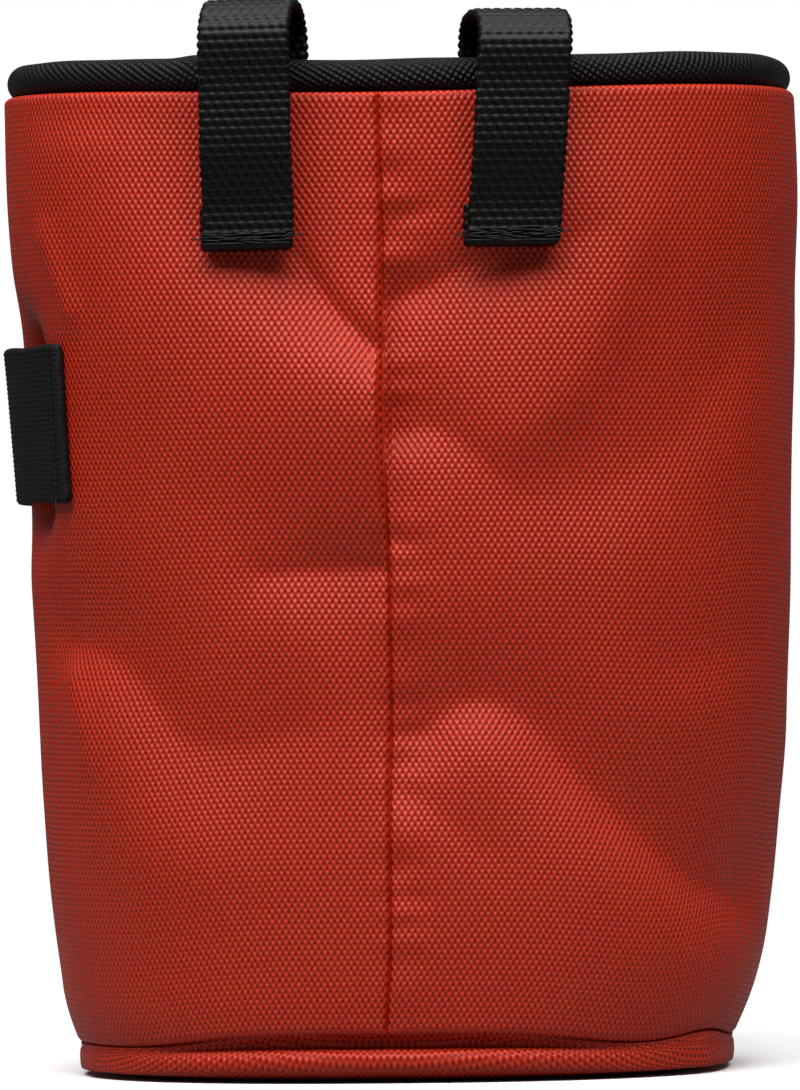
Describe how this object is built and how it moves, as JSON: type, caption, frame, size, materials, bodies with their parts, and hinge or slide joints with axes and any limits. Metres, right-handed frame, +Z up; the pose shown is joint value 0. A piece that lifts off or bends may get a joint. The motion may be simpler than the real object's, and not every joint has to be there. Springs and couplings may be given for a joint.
{
  "type": "climbing chalk bag",
  "caption": "Open oval climbing chalk bag in woven nylon, with a bound rim hoop, two webbing belt loops at the back and an elastic brush band on one side.",
  "frame": {"origin": "middle of the flat underside, on the floor", "axes": "+Z up; -Y is the back, the side with the seam and belt loops; +X is to the right seen from the back, and the brush band is on -X"},
  "size_m": [0.1431, 0.1097, 0.1892],
  "materials": {
    "orange_ballistic_nylon": "heavy plain weave, slight sheen",
    "black_rim_binding": "bias-cut twill over a round hoop",
    "black_webbing": "ribbed flat webbing, matt",
    "black_elastic": "finely ribbed woven elastic, matt"
  },
  "bodies": {
    "root": {"wall_panel": "orange_ballistic_nylon", "base_panel": "orange_ballistic_nylon", "rim_hoop": "black_rim_binding", "belt_loop_left": "black_webbing", "belt_loop_right": "black_webbing", "brush_band": "black_elastic"}
  },
  "joints": []
}
